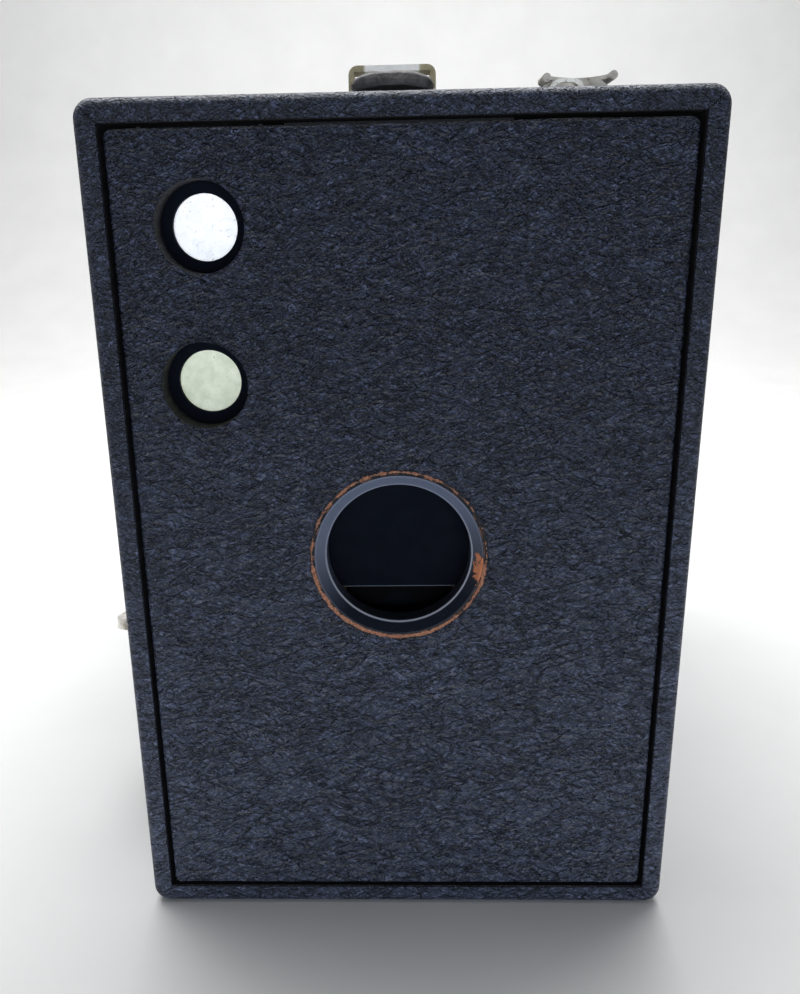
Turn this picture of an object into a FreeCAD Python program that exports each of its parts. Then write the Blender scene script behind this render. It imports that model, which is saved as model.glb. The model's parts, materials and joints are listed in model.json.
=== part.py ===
import FreeCAD, Part
import math
import os

from FreeCAD import Vector

# Box camera for roll film. Millimetres, +Z up, the origin at the centre of the base.
# The lens looks along -Y. "Depth" is measured back from the face of the front board.

# ---- driving sizes of the case
case_width = 89.0
case_height = 131.4
case_depth = 149.0
board = 2.8
cover = 0.5
corner_r = 2.8
edge_r = 1.2
rim_width = 3.27
groove = 0.8
front_board_t = 4.0
cleat = 3.0

# ---- driving sizes of the lens front and the shutter
lens_x = -0.55
lens_z = 64.9
torn_r = 13.83
bezel_r = 13.1
opening_r = 11.3
bevel_depth = 1.45
sheet = 0.8
thin_sheet = 0.5
layer_gap = 0.4
stop_radii = (4.6, 3.2, 2.2)
stop_pitch = 12.0
blade_reach = 31.0
blade_drop = 4.2
blade_span = 60.0
lens_r = 7.0
lens_t = 2.4

# ---- driving sizes of the finders
finder_recess_r = 6.41
finder_aperture_r = 4.73
finder_half = 9.0
finder_box_depth = 20.7
finder_window = 14.0
glass_t = 1.5
mirror_t = 1.2
mirror_gap = 0.48
upper_finder = (-28.12, 114.34)
side_finder = (-28.92, 92.0)

# ---- driving sizes of the film carrier
chamber_depth = 42.0
spool_drop = 28.9
spool_rise = 29.1
flange_r = 12.3
core_r = 5.0
spool_length = 72.0
carrier_front_depth = 26.6
carrier_board = 2.0
carrier_gap = 0.8
carrier_rear_depth = 141.0
gate_half_w = 31.5
gate_half_h = 53.5
cone_mouth = 8.6
roller_r = 2.6
journal_r = 1.0

# ---- driving sizes of the key
key_shaft_r = 2.6
collar_r = 4.6
bush_r = 6.5
key_pull = 8.0
key_reach = 14.5
wing_half = 9.0
wing_r = 5.2
wing_t = 2.2
wing_tilt = 14.0

# ---- driving sizes of the door, its hinge and its catch
door_t = 3.8
door_gap = 0.4
panel_t = 2.6
panel_gap = 1.0
hinge_pin_r = 0.7
knuckle_r = 1.5
knuckle_length = 20.0
leaf_t = 0.8
window_r = 7.0
catch_width = 12.0

# ---- driving sizes of the handle
handle_x = -0.8
strap_width = 12.7
strap_t = 3.0
strap_front_depth = 16.0
bracket_depth = 40.0
bracket_band = 5.0
bracket_h = 10.0
bracket_wall = 1.0
strap_lift = 3.0
strap_curl = 2.1

# ---- driving sizes of the slides, the lever and the tripod sockets
time_x = 23.5
time_width = 4.9
time_pull = 6.0
stop_x = 24.9
stop_width = 10.4
lever_z = 50.0
lever_pivot_x = -29.0
lever_reach = 2.9
lever_swing = 17.0
lever_width = 5.0
socket_r = 2.6
socket_depth_pos = 62.0

# ---- clearances shared by every fit
run_fit = 0.05
slide_fit = 0.3
eps = 0.4

# ---- levels and planes that follow from the sizes
half_w = case_width / 2
front = -case_depth / 2
wall = board + cover
inner_x = half_w - wall
inner_top = case_height - wall
door_depth = case_depth - door_t
case_end = door_depth - door_gap
board_back = cover + front_board_t
plate_back = board_back + sheet
blade_front = plate_back + 0.3
time_front = blade_front + thin_sheet + layer_gap
stop_front = time_front + thin_sheet + layer_gap
stop_back = stop_front + 0.6
lens_plate_front = stop_back + thin_sheet
lens_plate_back = lens_plate_front + sheet
lever_front = lens_plate_back + layer_gap
lever_t = 1.0
blade_pivot = (lens_x - 18.95, lens_z - 2.9)
spool_z = lens_z - spool_drop
supply_z = lens_z + spool_rise
carrier_x = inner_x - carrier_gap
carrier_low = wall + 1.0
carrier_high = inner_top - 1.0
gate_depth = carrier_rear_depth - 3.6
mouth_depth = carrier_front_depth + carrier_board
hinge_depth = case_depth + knuckle_r + eps
hinge_z = knuckle_r + 0.05
door_low = 0.9

shapes = {}


def pt(x, depth, z):
    return Vector(x, front + depth, z)


def box(x, depth, z):
    """A block between two x, two depths and two heights."""
    size = (x[1] - x[0], depth[1] - depth[0], z[1] - z[0])
    return Part.makeBox(*size, pt(x[0], depth[0], z[0]))


def rod_y(x, z, r, depth):
    return Part.makeCylinder(r, depth[1] - depth[0], pt(x, depth[0], z), Vector(0, 1, 0))


def rod_x(depth, z, r, x):
    return Part.makeCylinder(r, x[1] - x[0], pt(x[0], depth, z), Vector(1, 0, 0))


def rod_z(x, depth, r, z):
    return Part.makeCylinder(r, z[1] - z[0], pt(x, depth, z[0]), Vector(0, 0, 1))


def along(solid, axis, r, near=None):
    """Rounds the straight edges that run along one axis, or those of them that near accepts."""
    edges = []
    for edge in solid.Edges:
        a, b = edge.Vertexes[0].Point, edge.Vertexes[-1].Point
        run = b - a
        if run.Length < 1e-6 or edge.Curve.TypeId != "Part::GeomLine":
            continue
        if abs(run.normalize().dot(axis)) > 0.999 and (near is None or near(edge)):
            edges.append(edge)
    return solid.makeFillet(r, edges)


X, Y, Z = Vector(1, 0, 0), Vector(0, 1, 0), Vector(0, 0, 1)


def plate_xz(points, depth):
    """A sheet with the outline points (x, z) between two depths."""
    ring = [pt(x, depth[0], z) for x, z in points]
    face = Part.Face(Part.makePolygon(ring + ring[:1]))
    return face.extrude(Vector(0, depth[1] - depth[0], 0))


def group(name, solids):
    shapes[name] = Part.makeCompound(solids) if len(solids) > 1 else solids[0]


def cut_all(solid, tools):
    for tool in tools:
        solid = solid.cut(tool)
    return solid


def fuse_all(solids):
    whole = solids[0]
    for solid in solids[1:]:
        whole = whole.fuse(solid)
    return whole.removeSplitter()


# ---- outer form of the case, with and without its covering
def case_form(inset, depth):
    form = box((-half_w + inset, half_w - inset), depth, (inset, case_height - inset))
    form = along(form, Y, corner_r - inset)
    at_front = [e for e in form.Edges if abs(e.BoundBox.YMax - (front + depth[0])) < 1e-6
                and abs(e.BoundBox.YMin - (front + depth[0])) < 1e-6]
    return form.makeFillet(edge_r - inset, at_front)


bare = case_form(cover, (cover, case_end))
covered = case_form(0.0, (0.0, case_end))
mouth = box((-half_w + rim_width, half_w - rim_width), (-1, case_depth),
            (rim_width, case_height - rim_width))
skin = covered.cut(bare).cut(mouth)

# ---- places that pierce the case
key_hole = rod_x(chamber_depth, spool_z, bush_r, (-half_w - 1, -inner_x + 1))
slide_slot_x = (stop_x - stop_width / 2 - 0.6, stop_x + stop_width / 2 + 0.6)
slide_slot_depth = (time_front - slide_fit, stop_back + slide_fit)
slide_slot = box(slide_slot_x, slide_slot_depth, (inner_top - 1, case_height + 5))
lever_fall = (half_w - abs(lever_pivot_x)) * math.sin(math.radians(lever_swing))
lever_slot_z = (lever_z - lever_width / 2 - lever_fall - 0.8, lever_z + lever_width / 2 + 0.8)
lever_slot_depth = (lever_front - eps, lever_front + lever_t + eps)
lever_slot = box((-half_w - 1, -inner_x + 1), lever_slot_depth, lever_slot_z)
window_z = case_height / 2
finder_mid = board_back + sheet + finder_window / 2 + 2.7
finder_span = (finder_mid - finder_window / 2, finder_mid + finder_window / 2)
upper_window = box((upper_finder[0] - finder_window / 2, upper_finder[0] + finder_window / 2),
                   finder_span, (inner_top - 1, case_height + 1))
side_window = box((-half_w - 1, -inner_x + 1), finder_span,
                  (side_finder[1] - finder_window / 2, side_finder[1] + finder_window / 2))
base_socket_hole = rod_z(0, socket_depth_pos, 5.0, (-1, wall + 1))
side_socket_z = lens_z
side_socket_hole = rod_x(socket_depth_pos, side_socket_z, 5.0, (inner_x - 1, half_w + 1))
leaf_recess = box((-31, 31), (case_end - 12.3, case_depth), (-1, cover))

pierced = [key_hole, slide_slot, lever_slot, upper_window, side_window, base_socket_hole,
           side_socket_hole, leaf_recess]


# ---- small fasteners: a head, and a shank that its piece is drilled for
def screw(at, into, head_r, head_h, shank_r, length):
    head = Part.makeCylinder(head_r, head_h, at - into * head_h, into)
    return head.fuse(Part.makeCylinder(shank_r, length, at, into))


def shank(at, into, shank_r, length):
    return Part.makeCylinder(shank_r, length, at, into)


flush_r, flush_head, flush_shank_r, flush_length = 1.1, 0.4, 0.6, 2.2
socket_screw_at = [pt(s * 6.2, socket_depth_pos, 0.5) for s in (-1, 1)]
side_screw_at = [pt(half_w - 0.5, socket_depth_pos, side_socket_z + s * 6.2) for s in (-1, 1)]
socket_drills = [shank(p, Z, flush_shank_r, flush_length) for p in socket_screw_at]
socket_drills += [shank(p, -X, flush_shank_r, flush_length) for p in side_screw_at]
flange_seat = rod_z(0, socket_depth_pos, 8.0, (-1, 0.6))
side_flange_seat = rod_x(socket_depth_pos, side_socket_z, 8.0, (half_w - 0.6, half_w + 1))

bracket_feet = []
rear_bracket_depth = case_depth - bracket_depth - bracket_band
for depth in (bracket_depth, rear_bracket_depth):
    for side in (-1, 1):
        x = handle_x + side * (strap_width / 2 + slide_fit + bracket_wall + 3.0)
        bracket_feet.append(pt(x, depth + bracket_band / 2, case_height + 0.8))
bracket_drills = [shank(p, -Z, 0.8, 3.4) for p in bracket_feet]

escutcheon_pins = [pt(x, (slide_slot_depth[0] + slide_slot_depth[1]) / 2, case_height + 0.4)
                   for x in (slide_slot_x[0] - 1.6, slide_slot_x[1] + 1.6)]
lever_plate_pins = [pt(-half_w - 0.4, lever_front + 0.5, z)
                    for z in (lever_slot_z[0] - 2.0, lever_slot_z[1] + 2.0)]
frame_off = finder_window / 2 + 1.2
frame_pins = [pt(upper_finder[0] + a * frame_off, finder_mid + b * frame_off, case_height + 0.4)
              for a in (-1, 1) for b in (-1, 1)]
side_frame_pins = [pt(-half_w - 0.4, finder_mid + b * frame_off, side_finder[1] + a * frame_off)
                   for a in (-1, 1) for b in (-1, 1)]
pin_r, pin_length = 0.4, 2.4
pin_drills = [shank(p, -Z, pin_r, pin_length) for p in escutcheon_pins + frame_pins]
pin_drills += [shank(p, X, pin_r, pin_length) for p in lever_plate_pins + side_frame_pins]

keeper_depth = case_depth - 8.0
keeper_drill = shank(pt(0, keeper_depth, case_height + 0.2), -Z, 1.2, 2.6)
case_leaf_screws = [pt(x, case_end - 7.0, cover) for x in (-20, 20)]
leaf_drills = [shank(p, Z, flush_shank_r, flush_length) for p in case_leaf_screws]
pierced += socket_drills + [flange_seat, side_flange_seat] + bracket_drills + pin_drills
pierced += [keeper_drill] + leaf_drills
inside = box((-half_w + wall, half_w - wall), (cover, case_end), (wall, case_height - wall))


def make_case():
    """Four boards and the covering, which is mitred at the corners."""
    bands = {
        "case_top": box((-half_w, half_w), (0, case_end), (inner_top, case_height)),
        "case_bottom": box((-half_w, half_w), (0, case_end), (0, wall)),
        "case_left": box((-half_w, -inner_x), (0, case_end), (wall, inner_top)),
        "case_right": box((inner_x, half_w), (0, case_end), (wall, inner_top)),
    }
    for name, band in bands.items():
        group(name, [cut_all(bare.common(band).cut(inside), pierced)])
    lap = 15.0
    seam = 0.06
    corners = [(-half_w, 0.0), (half_w, 0.0), (half_w, case_height), (-half_w, case_height)]
    inward = [(1, 1), (-1, 1), (-1, -1), (1, -1)]
    sheets = []
    for k in range(4):
        n = (k + 1) % 4
        a, b = corners[k], corners[n]
        run = Vector(b[0] - a[0], b[1] - a[1], 0).normalize() * (seam * math.sqrt(2))
        a, b = (a[0] + run.x, a[1] + run.y), (b[0] - run.x, b[1] - run.y)
        ring = [a, b, (b[0] + inward[n][0] * lap, b[1] + inward[n][1] * lap),
                (a[0] + inward[k][0] * lap, a[1] + inward[k][1] * lap)]
        sheets.append(cut_all(skin.common(plate_xz(ring, (-1, case_depth))), pierced))
    group("case_covering", sheets)


def make_front():
    """Front board, its covering, the cleats behind it and the bevelled ring in the lens hole."""
    edge = rim_width + groove
    form = box((-half_w + edge, half_w - edge), (0, board_back), (edge, case_height - edge))
    form = along(form, Y, 1.5)
    holes = [rod_y(x, z, finder_recess_r, (-1, board_back + 1))
             for x, z in (upper_finder, side_finder)]
    drills = [shank(p, -Y, 0.8, 3.0) for p in plate_screws]
    wood = form.common(box((-half_w, half_w), (cover, board_back), (0, case_height)))
    wood = cut_all(wood, holes + drills + [rod_y(lens_x, lens_z, bezel_r, (-1, board_back + 1))])
    group("front_board", [wood])
    sheet_form = form.common(box((-half_w, half_w), (0, cover), (0, case_height)))
    rim = [e for e in sheet_form.Edges if e.BoundBox.YMax < front + 1e-6]
    sheet_form = sheet_form.makeFillet(cover * 0.7, rim)
    torn = rod_y(lens_x, lens_z, torn_r, (-1, board_back))
    group("front_covering", [cut_all(sheet_form, holes + [torn])])

    back = board_back + 4.0
    top_cleat = box((-16, 16), (board_back, back), (inner_top - cleat, inner_top))
    base_cleat = box((-35, 35), (board_back, back), (wall, wall + cleat))
    left_cleat = box((-inner_x, -inner_x + cleat), (board_back, back), (wall + 5, 80))
    right_cleat = box((inner_x - cleat, inner_x), (board_back, back), (wall + 5, inner_top - 6))
    group("front_cleats", [top_cleat, base_cleat, left_cleat, right_cleat])

    lip = 0.12
    profile = [(bezel_r, lip), (bezel_r, board_back), (opening_r, board_back),
               (opening_r, lip + bevel_depth), (bezel_r - 0.25, lip)]
    ring = [Vector(r, d, 0) for r, d in profile]
    face = Part.Face(Part.makePolygon(ring + ring[:1]))
    bezel = face.revolve(Vector(0, 0, 0), Y, 360)
    bezel.translate(pt(lens_x, 0, lens_z))
    group("lens_bezel", [bezel])


plate_half = inner_x - cleat - 0.3
plate_x = (-plate_half, stop_x + stop_width / 2 + 6.4)
plate_z = (36.0, inner_top - cleat - 0.6)
between_finders = (upper_finder[1] + side_finder[1]) / 2
plate_screws = [pt(plate_x[0] + 2.9, plate_back, plate_z[0] + 3), pt(plate_x[1] - 3, plate_back,
                plate_z[0] + 3), pt(plate_x[0] + 2.9, plate_back, between_finders),
                pt(plate_x[1] - 3, plate_back, plate_z[1] - 4)]
spacers = [(lens_x + 17, lens_z + 14.1), (lens_x + 17, lens_z - 18.9), (lens_x - 14, lens_z + 14.1)]


def make_shutter():
    """Base plate, rotating blade, lever, hairpin spring and the plate that carries the lens."""
    base = box(plate_x, (board_back, plate_back), plate_z)
    base = along(base, Y, 2.0)
    openings = [rod_y(lens_x, lens_z, opening_r + 0.3, (0, plate_back + 1))]
    openings += [rod_y(x, z, finder_aperture_r, (0, plate_back + 1))
                 for x, z in (upper_finder, side_finder)]
    openings += [shank(p, -Y, 0.8, 3.0) for p in plate_screws]
    stud_r = 1.5
    openings += [rod_y(x, z, stud_r, (0, plate_back + 1))
                 for x, z in (blade_pivot, (lever_pivot_x, lever_z))]
    group("shutter_plate", [cut_all(base, openings)])
    group("plate_screws", [screw(p, -Y, 1.6, 0.6, 0.8, 3.0) for p in plate_screws])

    px, pz = blade_pivot
    blade_depth = (blade_front, blade_front + thin_sheet)
    low = pt(px + blade_reach, blade_depth[0], pz - blade_drop)
    high_angle = math.radians(blade_span)
    reach = math.hypot(blade_reach, blade_drop)
    low_angle = -math.atan2(blade_drop, blade_reach)
    mid_angle = (high_angle + low_angle) / 2
    mid = pt(px + reach * math.cos(mid_angle), blade_depth[0], pz + reach * math.sin(mid_angle))
    high = pt(px + reach * math.cos(high_angle), blade_depth[0], pz + reach * math.sin(high_angle))
    tail = pt(px - 4.5, blade_depth[0], pz + 3.0)
    heel = pt(px - 6.5, blade_depth[0], pz - blade_drop)
    outline = Part.Wire([Part.makeLine(heel, low), Part.Arc(low, mid, high).toShape(),
                         Part.makeLine(high, tail), Part.makeLine(tail, heel)])
    blade = Part.Face(outline).extrude(Vector(0, thin_sheet, 0))
    blade = blade.cut(rod_y(px, pz, stud_r + run_fit, (0, 20)))
    group("shutter_blade", [blade])
    pivot = rod_y(px, pz, stud_r, (board_back, lens_plate_back))
    collar = rod_y(px, pz, 2.4, (blade_depth[1] + slide_fit, lens_plate_front))
    group("blade_pivot", [fuse_all([pivot, collar])])

    plate = box((px - 3.5, lens_x + 20), (lens_plate_front, lens_plate_back),
                (lens_z - 21.4, lens_z + 17.1))
    plate = cut_all(along(plate, Y, 2.0), [rod_y(lens_x, lens_z, lens_r - 1, (0, 20)),
                                           rod_y(px, pz, stud_r, (0, 20))])
    group("lens_plate", [plate])
    group("plate_spacers", [rod_y(x, z, 1.6, (plate_back, lens_plate_front)) for x, z in spacers])
    rails = []
    for x in (lens_x - 8.5 - slide_fit - 1.6, lens_x + 8.5 + slide_fit):
        rails.append(box((x, x + 1.6), (stop_front - 0.2, lens_plate_front),
                         (lens_z - 14, lens_z + 17)))
    group("slide_rails", rails)

    lx, deep = lever_pivot_x, (lever_front, lever_front + lever_t)
    tip_x = -half_w - lever_reach
    arm = box((tip_x, lx), deep, (lever_z - lever_width / 2, lever_z + lever_width / 2))
    hub = rod_y(lx, lever_z, 3.6, deep)
    ear = box((lx, lx + 4.6), deep, (lever_z - 1.6, lever_z + 1.6))
    thumb = box((tip_x, tip_x + 0.9), (deep[0], deep[1] + 4.5),
                (lever_z - lever_width / 2, lever_z + lever_width / 2 + 2))
    lever = fuse_all([arm, hub, ear, thumb]).cut(rod_y(lx, lever_z, stud_r + run_fit, (0, 30)))
    group("shutter_lever", [lever])
    stud = rod_y(lx, lever_z, stud_r, (board_back, deep[1] + 0.4))
    shoulder = rod_y(lx, lever_z, 2.6, (plate_back, deep[0] - slide_fit))
    head = rod_y(lx, lever_z, 2.6, (deep[1] + slide_fit, deep[1] + 1.0))
    group("lever_pivot", [fuse_all([stud, shoulder, head])])

    r = 0.3
    route = [pt(px - 4.9, blade_depth[1], pz - 2.0), pt(px - 4.9, blade_depth[1] + 1.6, pz - 2.0),
             pt(px - 4.9, blade_depth[1] + 1.6, pz + 3.5), pt(px - 7.5, blade_depth[1] + 1.6, pz + 3.5),
             pt(px - 7.5, deep[0] - 0.9, lever_z + 6.0), pt(lx + 3.8, deep[0] - 0.9, lever_z),
             pt(lx + 3.8, deep[0], lever_z)]
    group("shutter_spring", [wire(route, r)])


def wire(route, r):
    """Round wire through a list of points, with a ball at each bend."""
    pieces = []
    for a, b in zip(route, route[1:]):
        pieces.append(Part.makeCylinder(r, (b - a).Length, a, b - a))
    pieces += [Part.makeSphere(r, p) for p in route[1:-1]]
    return fuse_all(pieces)


def make_slides():
    """The time slide and the stop slide, pulled up through one slot in the top."""
    deep = (time_front, time_front + thin_sheet)
    strip = box((time_x - time_width / 2, time_x + time_width / 2), deep,
                (lens_z + 13, case_height + 0.6))
    crown = [(-1, 0.6), (-0.83, 1.45), (-0.45, 1.85), (0.45, 1.85), (0.83, 1.45), (1, 0.6)]
    half = time_width / 2
    arch = plate_xz([(time_x + a * half, case_height + h) for a, h in crown], deep)
    hollow = [(time_x + a * (half - 0.55), case_height + h - 0.5) for a, h in crown]
    loop = arch.cut(plate_xz(hollow, deep))
    group("time_slide", [fuse_all([strip, loop])])

    left, right = stop_x - stop_width / 2, stop_x + stop_width / 2
    gate_l, gate_r = lens_x - 8.5, lens_x + 8.5
    shoulder = lens_z + 25.1
    foot = lens_z - stop_pitch * 2 - 8
    tab_low, tab_root = case_height + 0.5, case_height + 1.7
    outline = [(gate_l, foot), (gate_r, foot), (gate_r, shoulder), (right, shoulder),
               (right, tab_low), (stop_x + 3.4, tab_root), (stop_x - 3.4, tab_root), (left, tab_low),
               (left, shoulder + 10), (gate_l, shoulder + 10)]
    body = plate_xz(outline, (stop_front, stop_back))
    for k, r in enumerate(stop_radii):
        body = body.cut(rod_y(lens_x, lens_z - k * stop_pitch, r, (0, 20)))
    roll_r = 0.6
    ends = [(left + 1.1, 2.15), (stop_x + 1.2, 1.75), (right, 2.3)]
    under = [pt(x, stop_front, case_height + h - thin_sheet / 2) for x, h in ends]
    over = [pt(x, stop_front, case_height + h + thin_sheet / 2) for x, h in ends]
    leaf = Part.Wire([Part.Arc(*under).toShape(), Part.makeLine(under[2], over[2]),
                      Part.Arc(*over[::-1]).toShape(), Part.makeLine(over[0], under[0])])
    tab_depth = (stop_front, stop_front + 4.0)
    tab = Part.Face(leaf).extrude(Vector(0, 4.0, 0))
    rolls = [rod_y(x, case_height + h, roll_r, tab_depth) for x, h in (ends[0], ends[2])]
    group("stop_slide", [fuse_all([body, tab] + rolls)])

    plate = box((slide_slot_x[0] - 3.2, slide_slot_x[1] + 3.2),
                (slide_slot_depth[0] - 2.0, slide_slot_depth[1] + 2.0),
                (case_height, case_height + 0.4))
    drills = [shank(p, -Z, pin_r, pin_length) for p in escutcheon_pins]
    group("slide_escutcheon", [cut_all(along(plate, Z, 1.0), [slide_slot] + drills)])
    plate = box((-half_w - 0.4, -half_w), (lever_slot_depth[0] - 2.4, lever_slot_depth[1] + 2.4),
                (lever_slot_z[0] - 4.0, lever_slot_z[1] + 4.0))
    drills = [shank(p, X, pin_r, pin_length) for p in lever_plate_pins]
    group("lever_escutcheon", [cut_all(along(plate, X, 1.0), [lever_slot] + drills)])
    tips = [screw(p, -Z, 0.7, 0.15, pin_r, pin_length) for p in escutcheon_pins + frame_pins]
    tips += [screw(p, X, 0.7, 0.15, pin_r, pin_length) for p in lever_plate_pins + side_frame_pins]
    group("trim_pins", tips)


def lens_solid(x, z, r, depth, t, bow):
    """A round lens, flat in front, whose bowed back is part of a ball."""
    ball_r = (r * r + bow * bow) / (2 * bow)
    ball = Part.makeSphere(ball_r, pt(x, depth + t - ball_r, z), Y)
    return rod_y(x, z, r, (depth, depth + t)).common(ball)


def make_lens():
    """The taking lens, its cell and the ring that keeps it there."""
    seat = lens_plate_back + 0.9
    cell = rod_y(lens_x, lens_z, lens_r + 1.6, (lens_plate_back, seat + lens_t + 0.8))
    cell = cell.fuse(rod_y(lens_x, lens_z, lens_r + 3.5, (lens_plate_back, seat)))
    cell = cell.cut(rod_y(lens_x, lens_z, lens_r - 1, (0, 20)))
    cell = cell.cut(rod_y(lens_x, lens_z, lens_r, (seat, 30)))
    group("lens_cell", [cell.removeSplitter()])
    group("taking_lens", [lens_solid(lens_x, lens_z, lens_r, seat, lens_t, 1.1)])
    ring = rod_y(lens_x, lens_z, lens_r, (seat + lens_t, seat + lens_t + 0.8))
    group("lens_ring", [ring.cut(rod_y(lens_x, lens_z, lens_r - 1, (0, 30)))])


def make_finder(place, turn, to_board, to_face):
    """One reflecting finder, built looking up and then turned about the lens axis."""
    half, back = finder_half, plate_back + finder_box_depth
    tin = 0.6
    shell = box((-half, half), (plate_back, back), (-half, to_board))
    hollow = box((-half + tin, half - tin), (plate_back - 1, back - tin), (-half + tin, to_board + 1))
    shell = shell.cut(hollow)
    eye = lens_solid(0, 0, finder_aperture_r + 1.3, plate_back, 1.6, 0.7)
    # the mirror lies at 45 degrees, so its length follows the box's diagonal
    reach = math.sqrt(2) * (half - tin - mirror_gap) - mirror_t
    mirror = Part.makeBox(2 * (half - tin), 2 * reach, mirror_t, Vector(-(half - tin), -reach, -mirror_t))
    mirror.rotate(Vector(0, 0, 0), X, 45)
    mirror.translate(pt(0, finder_mid, 0))
    side = finder_window / 2
    glass = box((-side, side), finder_span, (to_face - glass_t, to_face))
    rim = side + 2.4
    frame = box((-rim, rim), (finder_mid - rim, finder_mid + rim), (to_face, to_face + 0.4))
    frame = along(frame, Z, 1.0).cut(box((-side + 0.7, side - 0.7),
                                         (finder_mid - side + 0.7, finder_mid + side - 0.7),
                                         (0, to_face + 1)))
    for a in (-1, 1):
        for b in (-1, 1):
            at = pt(a * frame_off, finder_mid + b * frame_off, to_face + 0.4)
            frame = frame.cut(shank(at, -Z, pin_r, pin_length))
    made = [shell, eye, mirror, glass, frame]
    for solid in made:
        solid.rotate(Vector(0, 0, 0), Y, turn)
        solid.translate(Vector(place[0], 0, place[1]))
    return made


def make_finders():
    """The upper finder is seen from the top and the side finder from the side."""
    upper = make_finder(upper_finder, 0, inner_top - upper_finder[1], case_height - upper_finder[1])
    side = make_finder(side_finder, -90, inner_x + side_finder[0], half_w + side_finder[0])
    names = ("finder_boxes", "finder_lenses", "finder_mirrors", "finder_glasses", "finder_frames")
    for name, pair in zip(names, zip(upper, side)):
        group(name, list(pair))


def make_carrier():
    """Film carrier: front board, sides, light cone, film rails, rollers and their runners."""
    depth = (carrier_front_depth, mouth_depth)
    plank = box((-carrier_x, carrier_x), depth, (carrier_low, carrier_high))
    mouth_box = box((lens_x - cone_mouth, lens_x + cone_mouth), (0, 60),
                    (lens_z - cone_mouth, lens_z + cone_mouth))
    group("carrier_front", [plank.cut(mouth_box)])
    roller_depth = gate_depth - 0.3
    t = 0.8
    roller_off = gate_half_h + t + roller_r + 0.5
    roller_z = (lens_z - roller_off, lens_z + roller_off)
    pin_spots = [(chamber_depth, supply_z), (chamber_depth, spool_z)]
    sides = []
    for side in (-1, 1):
        x = sorted((side * carrier_x, side * (carrier_x - carrier_board)))
        plank = box(x, (mouth_depth, carrier_rear_depth), (carrier_low, carrier_high))
        plank = cut_all(plank, [rod_x(roller_depth, z, journal_r + run_fit, (-50, 50)) for z in roller_z])
        plank = plank.cut(rod_x(*pin_spots[0], 2.0, (-50, 50)))
        pierce_r = bush_r - 2.3 if side < 0 else 2.0
        sides.append(plank.cut(rod_x(*pin_spots[1], pierce_r, (-50, 50))))
    group("carrier_sides", sides)
    inner_face = carrier_x - carrier_board

    def wall_between(near, far):
        """Straight-sided wall from a rectangle at the cone's mouth to one at the film."""
        wires = []
        for (x0, x1, z0, z1), depth in ((near, mouth_depth), (far, gate_depth)):
            ring = [pt(x, depth, z) for x, z in ((x0, z0), (x1, z0), (x1, z1), (x0, z1))]
            wires.append(Part.makePolygon(ring + ring[:1]))
        return Part.makeLoft(wires, True, True)

    walls = []
    m, w, h = cone_mouth, gate_half_w, gate_half_h
    for s in (-1, 1):
        near = sorted((s * m, s * (m + t)))
        far_z = sorted((s * h, s * (h + t)))
        far_x = sorted((s * w, s * (w + t)))
        walls.append(wall_between((lens_x - m, lens_x + m, lens_z + near[0], lens_z + near[1]),
                                  (lens_x - w, lens_x + w, lens_z + far_z[0], lens_z + far_z[1])))
        walls.append(wall_between((lens_x + near[0], lens_x + near[1], lens_z - m - t, lens_z + m + t),
                                  (lens_x + far_x[0], lens_x + far_x[1], lens_z - h - t, lens_z + h + t)))
    group("light_cone", walls)
    rail_depth = (gate_depth, gate_depth + 2.2)
    rail_z = (lens_z - gate_half_h + 0.6, lens_z + gate_half_h - 0.6)
    group("film_rails", [box((-inner_face, lens_x - gate_half_w), rail_depth, rail_z),
                         box((lens_x + gate_half_w, inner_face), rail_depth, rail_z)])
    for name, z in zip(("lower_roller", "upper_roller"), roller_z):
        barrel = rod_x(roller_depth, z, roller_r, (-inner_face + eps, inner_face - eps))
        journal = rod_x(roller_depth, z, journal_r, (-carrier_x + 0.2, carrier_x - 0.2))
        group(name, [fuse_all([barrel, journal])])
    pins = []
    for side, z in ((-1, supply_z), (1, supply_z), (1, spool_z)):
        x = sorted((side * carrier_x, side * (inner_face - 4.4)))
        pins.append(rod_x(chamber_depth, z, 2.0, x))
    group("spool_pins", pins)
    runners = []
    for side in (-1, 1):
        x = sorted((side * (carrier_x - 5), side * carrier_x))
        runners.append(box(x, (carrier_front_depth, carrier_rear_depth - 6), (wall, carrier_low)))
    group("carrier_runners", runners)

    half = spool_length / 2
    core = rod_x(chamber_depth, spool_z, core_r, (-half, half))
    flanges = [rod_x(chamber_depth, spool_z, flange_r, x) for x in ((-half, -half + sheet),
                                                                    (half - sheet, half))]
    spool = fuse_all([core] + flanges)
    spool = spool.cut(rod_x(chamber_depth, spool_z, 2.0 + run_fit, (-half - 1, -half + 6)))
    spool = spool.cut(rod_x(chamber_depth, spool_z, 2.0 + run_fit, (half - 6, half + 1)))
    spool = spool.cut(box((-half - 1, -half + 2.2), (chamber_depth - 4.2, chamber_depth + 4.2),
                          (spool_z - 1.1, spool_z + 1.1)))
    group("take_up_spool", [spool])


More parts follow.
